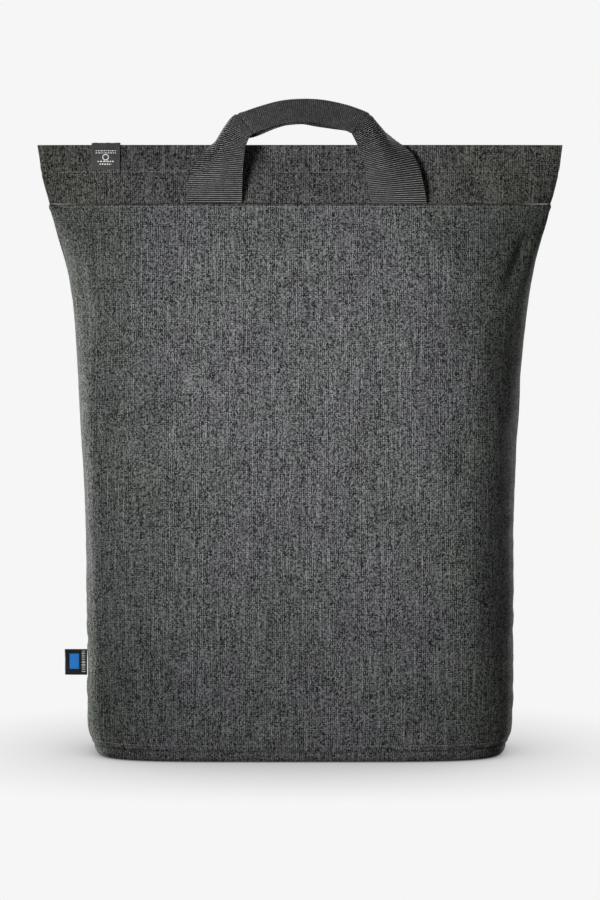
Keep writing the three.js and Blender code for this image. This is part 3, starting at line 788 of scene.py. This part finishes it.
def zip_tape():
    front, _ = cloth_grid(-1, [TAPE_TOP], TAPE_INSET, COLUMNS, gap=0.0)
    back, _ = cloth_grid(1, [TAPE_TOP], TAPE_INSET, COLUMNS, gap=0.0)
    shares = np.linspace(0, 1, 9)[:, None, None]
    grid = front * (1 - shares) + back * shares
    grid = grid[:, 1:-1]
    grid[..., 2] = TAPE_TOP - ZIP_TAPE / 2
    shape = Shape("top_zip")
    add_sheet(shape, grid, ZIP_TAPE, grid[..., :2])
    reach = half_sizes(TAPE_TOP)[0] - TAPE_INSET - ZIP_TEETH_WIDTH
    places = np.arange(-reach, reach, TOOTH_PITCH)
    level = 0 * places
    for side, shift in ((-1, 0.0), (1, TOOTH_PITCH / 2)):
        centres = np.stack([places + shift, level + side * 0.85, level + TAPE_TOP + 0.7], -1)
        along = np.zeros_like(centres) + [0, 1, 0]
        upwards = np.zeros_like(centres) + [0, 0, 1]
        add_capsules(shape, centres, along, upwards, 2.3, 1.0, 1.5, 1)
    return shape.build([ZIP_FINISH, TEETH], ["top_zip"])


def bevelled(node, material, width):
    """A copy of a CAD piece with rounded edges."""
    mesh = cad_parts[node].data.copy()
    mesh.name = node
    work = bmesh.new()
    work.from_mesh(mesh)
    bmesh.ops.remove_doubles(work, verts=work.verts, dist=0.00002)
    bmesh.ops.dissolve_limit(work, angle_limit=math.radians(2), verts=work.verts, edges=work.edges)
    work.to_mesh(mesh)
    work.free()
    mesh.materials.clear()
    mesh.materials.append(material)
    if "cloth" not in mesh.uv_layers:
        mesh.uv_layers.new(name="cloth")
    piece = bpy.data.objects.new(node + "_shown", mesh)
    bpy.context.scene.collection.objects.link(piece)
    rounding = piece.modifiers.new("rounding", "BEVEL")
    rounding.width = width * MM
    rounding.segments = 3
    rounding.limit_method = "ANGLE"
    mesh.shade_smooth()
    mesh.set_sharp_from_angle(angle=math.radians(40))
    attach(piece, "root")
    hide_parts(node)
    return piece


zip_tape()
bevelled("zip_slider", METAL, 0.4)
for name in ("left", "right"):
    bevelled(f"strap_buckle_{name}", PLASTIC, 0.7)


# Carry handle


def folded_section(fold):
    """Points across the webbing: (distance outwards, distance back), and the places across it."""
    closed_bend = math.pi * (WEBBING + LAYER_GAP) / 4
    bend = lerp(OPEN_BEND, closed_bend, min(max(fold, 0), 1))
    turn = math.pi * min(max(fold, FLAT_FOLD), 1)
    radius = 2 * bend / turn
    half = WEBBING_WIDTH / 2
    flat = np.linspace(-half, -bend, 14, endpoint=False)
    shares = np.linspace(0, 1, 16, endpoint=False)
    beyond = np.linspace(0, half - bend, 10)
    end = (-bend + radius * math.sin(turn), radius * (1 - math.cos(turn)))
    curve = (-bend + radius * np.sin(turn * shares), radius * (1 - np.cos(turn * shares)))
    out = np.concatenate([flat, curve[0], end[0] + beyond * math.cos(turn)])
    back = np.concatenate([0 * flat, curve[1], end[1] + beyond * math.sin(turn)])
    across = np.concatenate([flat, -bend + 2 * bend * shares, bend + beyond])
    return out, back, across


def rib_relief(across, along, rib, height, half_width):
    """Ribs across webbing, with small bumps along its woven edges."""
    inside = ramp(half_width - np.abs(across), 0.2, 1.4)
    ribs = height * np.cos(2 * math.pi * along / rib)
    edge = 0.22 * np.abs(np.sin(math.pi * along / (2 * rib)))
    return ribs * inside + edge * (1 - inside) - 0.15 * (1 - inside)


# Creases across the inner half where the grip turns down: place along, slant
CREASES = [(0.335, -0.35), (0.715, 0.55)]


def handle():
    station = smooth_table(HANDLE_STATIONS)
    face = half_sizes(BAND_SEAM)[1] - band_inset(BAND_SEAM)
    foot = -(SEAM_GAP / 2 + face + SEAM_GAP + WEBBING / 2)

    def line(place):
        across, rise, lean, _ = station(np.clip(place, 0, 1))
        x = HANDLE_CENTRE + across * HANDLE_SPAN
        z = BAND_SEAM + SEAM_GAP + rise * HANDLE_RISE
        return np.stack([x, foot + lean * HANDLE_LEAN, z], -1)

    places = np.linspace(0, 1, 1101)
    middle = line(places)
    along = unit(line(places + HANDLE_STEP) - line(places - HANDLE_STEP))
    back = np.zeros_like(along) + [0, 1, 0]
    back = unit(back - along * (back * along).sum(-1, keepdims=True))
    out = np.cross(along, back)
    _, rise, _, folds = station(places)
    out[:, 2] *= np.clip(rise / FOOT_SHARE, 0, 1)
    out = unit(out)
    run = run_along(middle, 0)
    run = run - run[len(run) // 2]
    grid, cloth = [], []
    for index, fold in enumerate(folds):
        outwards, behind, across = folded_section(float(fold))
        tilt = HANDLE_TILT * min(max(float(fold), 0), 1) ** 2
        upright = outwards * math.cos(tilt) - behind * math.sin(tilt)
        rearward = outwards * math.sin(tilt) + behind * math.cos(tilt)
        grid.append(middle[index] + upright[:, None] * out[index] + rearward[:, None] * back[index])
        cloth.append(np.stack([across, 0 * across + run[index]], -1))
    grid, cloth = np.array(grid), np.array(cloth)
    relief = rib_relief(cloth[..., 0], cloth[..., 1], WEBBING_RIB, 0.13, WEBBING_WIDTH / 2)
    for place, slant in CREASES:
        crease = np.interp(place, places, run) + slant * (cloth[..., 0] + WEBBING_WIDTH / 4)
        dent, swell = bump(cloth[..., 1], crease, 1.0), bump(cloth[..., 1], crease, 3.0)
        relief = relief - 0.9 * dent + 0.35 * swell
    shape = Shape("carry_handle")
    add_sheet(shape, grid, WEBBING - RIB_ROOM, cloth, 0, relief, relief)
    return shape.build([HANDLE_FINISH], ["carry_handle"], sharp=75)


handle()


# Label over the mouth's front edge, and the tab in the left side seam

LABEL_SEAMS = (1.6, LABEL_DROP - 2.0)
# Rows of dashes: start, end, level, thickness, upright
LABEL_ROWS = [
    (-7.5, 7.5, 13.9, 0.75, False),
    (-7.5, 7.5, 12.2, 0.75, False),
    (-6.0, 6.0, 5.7, 1.1, False),
    (-4.4, 4.4, 3.7, 1.1, False),
]
TAB_ROW = (58.0, 74.0, -160.9, 3.2, True)
TAB_PATCH_X = (-171.3, -164.3)
TAB_PATCH_Z = (60.4, 71.9)
RING_RADIUS = 2.1
RING_RISE = 8.9
RING_DASHES = 14


def dash_rows(shape, frame_at, rows, paint, seed):
    """Rows of small woven dashes of seeded lengths, set on a face by frame_at."""
    draws = np.random.default_rng(seed)
    for start, end, up, thick, upright in rows:
        place = start
        while place < end:
            length = draws.uniform(0.7, 2.0)
            stop = min(place + length, end)
            middle = (place + stop) / 2
            centre, along, off = frame_at(middle, up, upright)
            add_capsules(shape, centre[None], along[None], off[None], stop - place, thick, 0.35, paint)
            place = stop + draws.uniform(0.35, 0.7)


def label():
    clear = LABEL_CLEARANCE + LABEL_CLOTH / 2
    shares = np.linspace(-0.5, 0.5, 26)
    drops = np.linspace(1, 0, 34)
    columns = []
    for share in shares:
        x = LABEL_MIDDLE + share * LABEL_WIDTH
        z = HEIGHT - drops * LABEL_DROP
        y = -(face_reach(-1, np.full_like(z, x), z) + clear)
        leaf = np.stack([np.full_like(z, x), y, z], -1)
        turns = np.linspace(0, math.pi / 2, 7)[1:]
        top = leaf[-1]
        bend_y = top[1] + clear * (1 - np.cos(turns))
        bend = np.stack([x + 0 * turns, bend_y, top[2] + clear * np.sin(turns)], -1)
        inside = CLOTH - face_reach(-1, np.array(x), np.array(float(HEIGHT)))
        lip_y = np.linspace(bend[-1][1], inside, 5)[1:]
        lip = np.stack([x + 0 * lip_y, lip_y, np.full_like(lip_y, bend[-1][2])], -1)
        columns.append(np.concatenate([leaf, bend, lip]))
    grid = np.array(columns)
    across = shares[:, None] * LABEL_WIDTH + np.zeros(grid.shape[:2])
    up = run_along(grid, 1)
    relief = 0.1 * ripples(across, up, 14, 18, 3) - 0.2 * bump(np.abs(across), LABEL_WIDTH / 2, 0.6)
    for seam in LABEL_SEAMS:
        relief = relief - 0.16 * bump(up, seam, 0.5)
    shape = Shape("top_label")
    facing = 1 if grid_normals(grid)[10, 10, 1] < 0 else -1
    front, back = (relief, 0.0) if facing > 0 else (0.0, relief)
    add_sheet(shape, grid, LABEL_CLOTH, np.stack([across, up], -1), 0, front, back)
    normals = grid_normals(grid) * facing
    surface = grid + normals * (LABEL_CLOTH / 2 + relief)[..., None]

    def at(x, z):
        column = np.interp(x, shares * LABEL_WIDTH, np.arange(len(shares)))
        low = int(min(math.floor(column), len(shares) - 2))
        share = column - low
        line = surface[low] * (1 - share) + surface[low + 1] * share
        return np.array([np.interp(z, up[0], line[:, k]) for k in range(3)])

    def frame_at(place, level, upright):
        x, z = (level, place) if upright else (place, level)
        here = at(x, z)
        step = np.array([0, 0, 1.0]) if upright else np.array([1.0, 0, 0])
        return here, step, normals[12, 10]

    reach = LABEL_WIDTH / 2 - 0.6
    for level in LABEL_SEAMS:
        path = np.array([at(x, level) for x in np.linspace(-reach, reach, 30)])
        stitch_row(shape, path, np.tile(normals[12, 10], (30, 1)), 1.5, 1.1, 0.38, 1, 5, 0.05)
    dash_rows(shape, frame_at, LABEL_ROWS, 2, 8)
    for turn in np.arange(RING_DASHES) / RING_DASHES * 2 * math.pi:
        x, z = RING_RADIUS * math.cos(turn), RING_RISE + RING_RADIUS * math.sin(turn)
        along = np.array([-math.sin(turn), 0, math.cos(turn)])
        add_capsules(shape, at(x, z)[None], along[None], normals[12, 10][None], 1.1, 0.9, 0.35, 2)
    return shape.build([LABEL_FINISH, DARK_THREAD, LABEL_THREAD], ["top_label"])


def tab():
    leaf = (TAB_CLOTH + TAB_LEAF_GAP) / 2
    heights = np.linspace(TAB_RISE, TAB_RISE + TAB_HEIGHT, 24)
    rows, cloth = [], []
    for z in heights:
        seam = -(float(half_sizes(z)[0]) + SEAM_GAP)
        end = seam - TAB_LENGTH + TAB_CLOTH / 2
        run = np.linspace(0, 1, 18)
        turns = np.radians(np.linspace(-90, 90, 11))[1:-1]
        bend = end + leaf * (1 - np.cos(turns))
        x = np.concatenate([lerp(seam, end + leaf, run), bend, lerp(end + leaf, seam, run)])
        y = np.concatenate([-leaf + 0 * run, leaf * np.sin(turns), leaf + 0 * run])
        rows.append(np.stack([x, y, z + 0 * x], -1))
        cloth.append(np.stack([run_along(rows[-1], 0), z + 0 * x], -1))
    grid, cloth = np.array(rows), np.array(cloth)
    curl = (-grid[..., 0] - BODY_WIDTH / 2) / TAB_LENGTH
    grid[..., 1] += 0.7 * curl**2 * np.sin((grid[..., 2] - TAB_RISE) / TAB_HEIGHT * 2.6 + 0.4)
    relief = 0.08 * ripples(cloth[..., 0], cloth[..., 1], 9, 9, 4)
    shape = Shape("side_tab")
    facing = 1 if grid_normals(grid)[10, 5, 1] < 0 else -1
    front, back = (relief, 0.0) if facing > 0 else (0.0, relief)
    add_sheet(shape, grid, TAB_CLOTH, cloth, 0, front, back)
    surface = (grid + grid_normals(grid) * facing * (TAB_CLOTH / 2 + relief)[..., None])[:, :18]

    def at(x, z):
        row = np.interp(z, heights, np.arange(len(heights)))
        low = int(min(math.floor(row), len(heights) - 2))
        share = row - low
        line = surface[low] * (1 - share) + surface[low + 1] * share
        return np.array([np.interp(-x, -line[:, 0], line[:, k]) for k in range(3)])

    towards = np.array([0, -1.0, 0])
    blue_x, blue_z = np.linspace(*TAB_PATCH_X, 9), np.linspace(*TAB_PATCH_Z, 13)
    patch = np.array([[at(x, z) for x in blue_x] for z in blue_z])
    flat = np.stack(np.meshgrid(blue_x, blue_z), -1)
    add_wall(shape, patch + towards * 0.12, patch - towards * 0.2, flat, 1)

    def frame_at(place, level, upright):
        return at(level, place), np.array([0, 0, 1.0]), towards

    dash_rows(shape, frame_at, [TAB_ROW], 2, 12)
    return shape.build([TAB_FINISH, TAB_BLUE, TAB_WHITE], ["side_tab"])


label()
tab()


# Shoulder straps and the webbing below them

strap_station = smooth_table(STRAP_STATIONS)


def strap_line(side, place):
    shift, slack = strap_station(np.clip(place, 0, 1))[:2]
    x = side * lerp(STRAP_TOP_SPACING, STRAP_END_SPACING, shift) / 2
    z = lerp(BAND_SEAM - SEAM_GAP, STRAP_RISE, np.clip(place, 0, 1))
    return off_back(x, z, STRAP_THICKNESS / 2 + STRAP_CLEARANCE + slack * STRAP_SLACK)


def strap_frame(side, places):
    before = strap_line(side, np.clip(places - STRAP_STEP, 0, 1))
    along = unit(strap_line(side, np.clip(places + STRAP_STEP, 0, 1)) - before)
    across = np.zeros_like(along) + [1, 0, 0]
    across = unit(across - along * (across * along).sum(-1, keepdims=True))
    return along, across, unit(np.cross(across, along))


def shoulder_strap(name, side):
    places = np.linspace(0, 1, 150)
    _, across, off = strap_frame(side, places)
    _, _, thick, wide = strap_station(places)
    middle = strap_line(side, places)
    run = run_along(middle, 0)
    turns = np.linspace(0, 2 * math.pi, 72, endpoint=False)
    wave = lambda value, power: np.sign(value) * np.abs(value) ** power
    sideways, outwards = wave(np.cos(turns), 0.42), wave(np.sin(turns), 0.62)
    half = wide * STRAP_WIDTH / 2 - 0.9
    rise = thick * STRAP_THICKNESS / 2
    spot, down = sideways[None] * half[:, None], run[:, None] + 0 * sideways
    puff = 1 + 0.05 * ripples(spot, down, 40, 60, 50 + side)
    edge = 1 - 0.16 * bump(np.abs(sideways), 0.84, 0.06)
    rings = (
        middle[:, None]
        + spot[..., None] * across[:, None]
        + (outwards * edge * puff * rise[:, None])[..., None] * off[:, None]
    )
    shape = Shape(f"shoulder_strap_{name}")
    add_rings(shape, rings, np.stack([spot, down], -1))
    for edge_side in (-1, 1):
        path = middle + across * (edge_side * half)[:, None]
        turn = np.linspace(0, 2 * math.pi, 16, endpoint=False)
        ring = (
            path[:, None]
            + (np.cos(turn) * 0.95)[None, :, None] * across[:, None]
            + (np.sin(turn)[None] * (0.36 * rise + 0.4)[:, None])[..., None] * off[:, None]
        )
        trim = np.stack([turn * 2.4 + 0 * run[:, None], run[:, None] + 0 * turn], -1)
        add_rings(shape, ring, trim, 1)
        sewn = middle + across * (edge_side * half * 0.84)[:, None] + off * (rise * 0.79)[:, None]
        stitch_row(shape, sewn[4:-4], off[4:-4], 3.4, 2.4, 0.6, 2, 60 + edge_side, 0.0)
    piece = shape.build([STRAP_FINISH, RIBBED, DARK_THREAD], [shape.name], sharp=60)
    return piece


def lower_strap(name, side):
    place_end = np.array([1.0])
    along, across, off = (value[0] for value in strap_frame(side, place_end))
    reach = SEAM_GAP + BUCKLE_BAR * 1.5 + BUCKLE_SLOT
    middle = strap_line(side, place_end)[0] + along * reach
    at = lambda down, sideways, outwards: middle + along * down + across * sideways + off * outwards
    half = LOWER_WEBBING_WIDTH / 2
    turn_radius = (BUCKLE_BAR * math.sqrt(0.5) + SEAM_GAP + WEBBING / 2) / math.cos(math.pi / 10)
    edges = np.linspace(-half, half, 13)
    flat = lambda down, outwards: np.array([at(down, edge, outwards) for edge in edges])
    pitch = BUCKLE_BAR + BUCKLE_SLOT
    tail = [flat(down, turn_radius) for down in np.linspace(TAIL_LENGTH, 0, 120)]
    turned = [
        flat(-turn_radius * math.sin(turn), turn_radius * math.cos(turn))
        for turn in np.linspace(0, math.pi, 24)[1:]
    ]
    low = flat(pitch + BUCKLE_BAR, -turn_radius)
    foot_x = side * LOWER_END_SPACING / 2 + edges
    foot_z = np.full_like(edges, LOWER_END_RISE)
    foot = off_back(foot_x, foot_z, STRAP_CLEARANCE + WEBBING / 2 + 0 * edges)
    run = [lerp(low, foot, share) for share in np.linspace(0, 1, 150)]
    bridge = [lerp(turned[-1], low, share) for share in np.linspace(0, 1, 24)[1:-1]]
    grid = np.array(tail + turned + bridge + run)
    lengths = run_along(grid[:, 6], 0)
    cloth = np.stack([edges + 0 * lengths[:, None], lengths[:, None] + 0 * edges], -1)
    relief = rib_relief(cloth[..., 0], cloth[..., 1], WEBBING_RIB, 0.1, half)
    shape = Shape(f"lower_strap_{name}")
    add_sheet(shape, grid, WEBBING - RIB_ROOM, cloth, 0, relief, relief)
    return shape.build([RIBBED], [shape.name], sharp=75)


for name, side in (("left", -1), ("right", 1)):
    shoulder_strap(name, side)
    lower_strap(name, side)


# Stage: floor, backdrop, lights and camera

BACKDROP = colour(246, 246, 246)
# The photograph's view: place in metres and dip below the level in degrees
CAMERA_LENS = 119.24
CAMERA_PLACE = (0.0, -2.2, 0.380)
CAMERA_DIP = 4.07


def floor():
    mesh = bpy.data.meshes.new("floor")
    mesh.from_pydata([(-9, -6, 0), (9, -6, 0), (9, 14, 0), (-9, 14, 0)], [], [(0, 1, 2, 3)])
    ground = bpy.data.objects.new("floor", mesh)
    ground.location.z = -0.3 * MM
    bpy.context.scene.collection.objects.link(ground)
    material = bpy.data.materials.new("floor")
    material.use_nodes = True
    tree = material.node_tree
    tree.nodes.remove(tree.nodes["Principled BSDF"])
    near = tree.nodes.new("ShaderNodeAmbientOcclusion")
    near.samples = 16
    near.inputs["Distance"].default_value = 0.16
    darken = tree.nodes.new("ShaderNodeMapRange")
    for index, value in enumerate((0.0, 1.0, 0.1, 1.0)):
        darken.inputs[index + 1].default_value = value
    glow = tree.nodes.new("ShaderNodeEmission")
    glow.inputs["Color"].default_value = BACKDROP
    tree.links.new(near.outputs["AO"], darken.inputs[0])
    tree.links.new(darken.outputs[0], glow.inputs["Strength"])
    tree.links.new(glow.outputs[0], tree.nodes["Material Output"].inputs["Surface"])
    mesh.materials.append(material)
    ground.visible_diffuse = False
    ground.visible_glossy = False


def backdrop(behind, elsewhere):
    """A world that is bright behind the object and dark elsewhere."""
    world = bpy.data.worlds.new("studio")
    bpy.context.scene.world = world
    world.use_nodes = True
    tree = world.node_tree
    direction = tree.nodes.new("ShaderNodeTexCoord").outputs["Generated"]
    split = tree.nodes.new("ShaderNodeSeparateXYZ")
    tree.links.new(direction, split.inputs[0])
    strength = None
    for axis, low, high in ((1, 0.0, 0.5), (2, -0.6, -0.2)):
        share = tree.nodes.new("ShaderNodeMapRange")
        for index, value in enumerate((low, high, 0.0, 1.0)):
            share.inputs[index + 1].default_value = value
        tree.links.new(split.outputs[axis], share.inputs[0])
        if strength is None:
            strength = share.outputs[0]
            continue
        product = tree.nodes.new("ShaderNodeMath")
        product.operation = "MULTIPLY"
        tree.links.new(strength, product.inputs[0])
        tree.links.new(share.outputs[0], product.inputs[1])
        strength = product.outputs[0]
    final = tree.nodes.new("ShaderNodeMapRange")
    for index, value in enumerate((0.0, 1.0, elsewhere, behind)):
        final.inputs[index + 1].default_value = value
    tree.links.new(strength, final.inputs[0])
    tree.links.new(final.outputs[0], tree.nodes["Background"].inputs["Strength"])
    tree.nodes["Background"].inputs["Color"].default_value = BACKDROP


def lamp(name, place, aim, size, power, spread=180):
    data = bpy.data.lights.new(name, "AREA")
    data.spread = math.radians(spread)
    data.shape = "RECTANGLE"
    data.size, data.size_y = size
    data.energy = power
    light = bpy.data.objects.new(name, data)
    bpy.context.scene.collection.objects.link(light)
    light.location = place
    towards = np.array(aim) - np.array(place)
    yaw = math.atan2(-towards[0], towards[1])
    pitch = math.atan2(towards[2], math.hypot(towards[0], towards[1])) + math.pi / 2
    light.rotation_euler = (pitch, 0, yaw)


floor()
backdrop(1.0, 0.03)
lamp("key", (-0.62, -1.10, 0.40), (0.13, 0.0, 0.30), (0.4, 0.4), 1.38, 45)
lamp("fill", (0.10, -1.80, 0.30), (0.0, 0.0, 0.27), (0.8, 0.6), 1.3)
lamp("rim_left", (-1.27, 0.84, 0.24), (-0.15, 0.0, 0.20), (0.3, 0.4), 4.6, 60)
lamp("rim_right", (0.99, 1.12, 0.22), (0.15, 0.0, 0.18), (0.3, 0.4), 1.6, 60)

camera_data = bpy.data.cameras.new("camera")
camera_data.lens = CAMERA_LENS
camera = bpy.data.objects.new("camera", camera_data)
bpy.context.scene.collection.objects.link(camera)
camera.location = CAMERA_PLACE
camera.rotation_euler = (math.radians(90 - CAMERA_DIP), 0, 0)
bpy.context.scene.camera = camera
bpy.context.scene.view_settings.view_transform = "Standard"
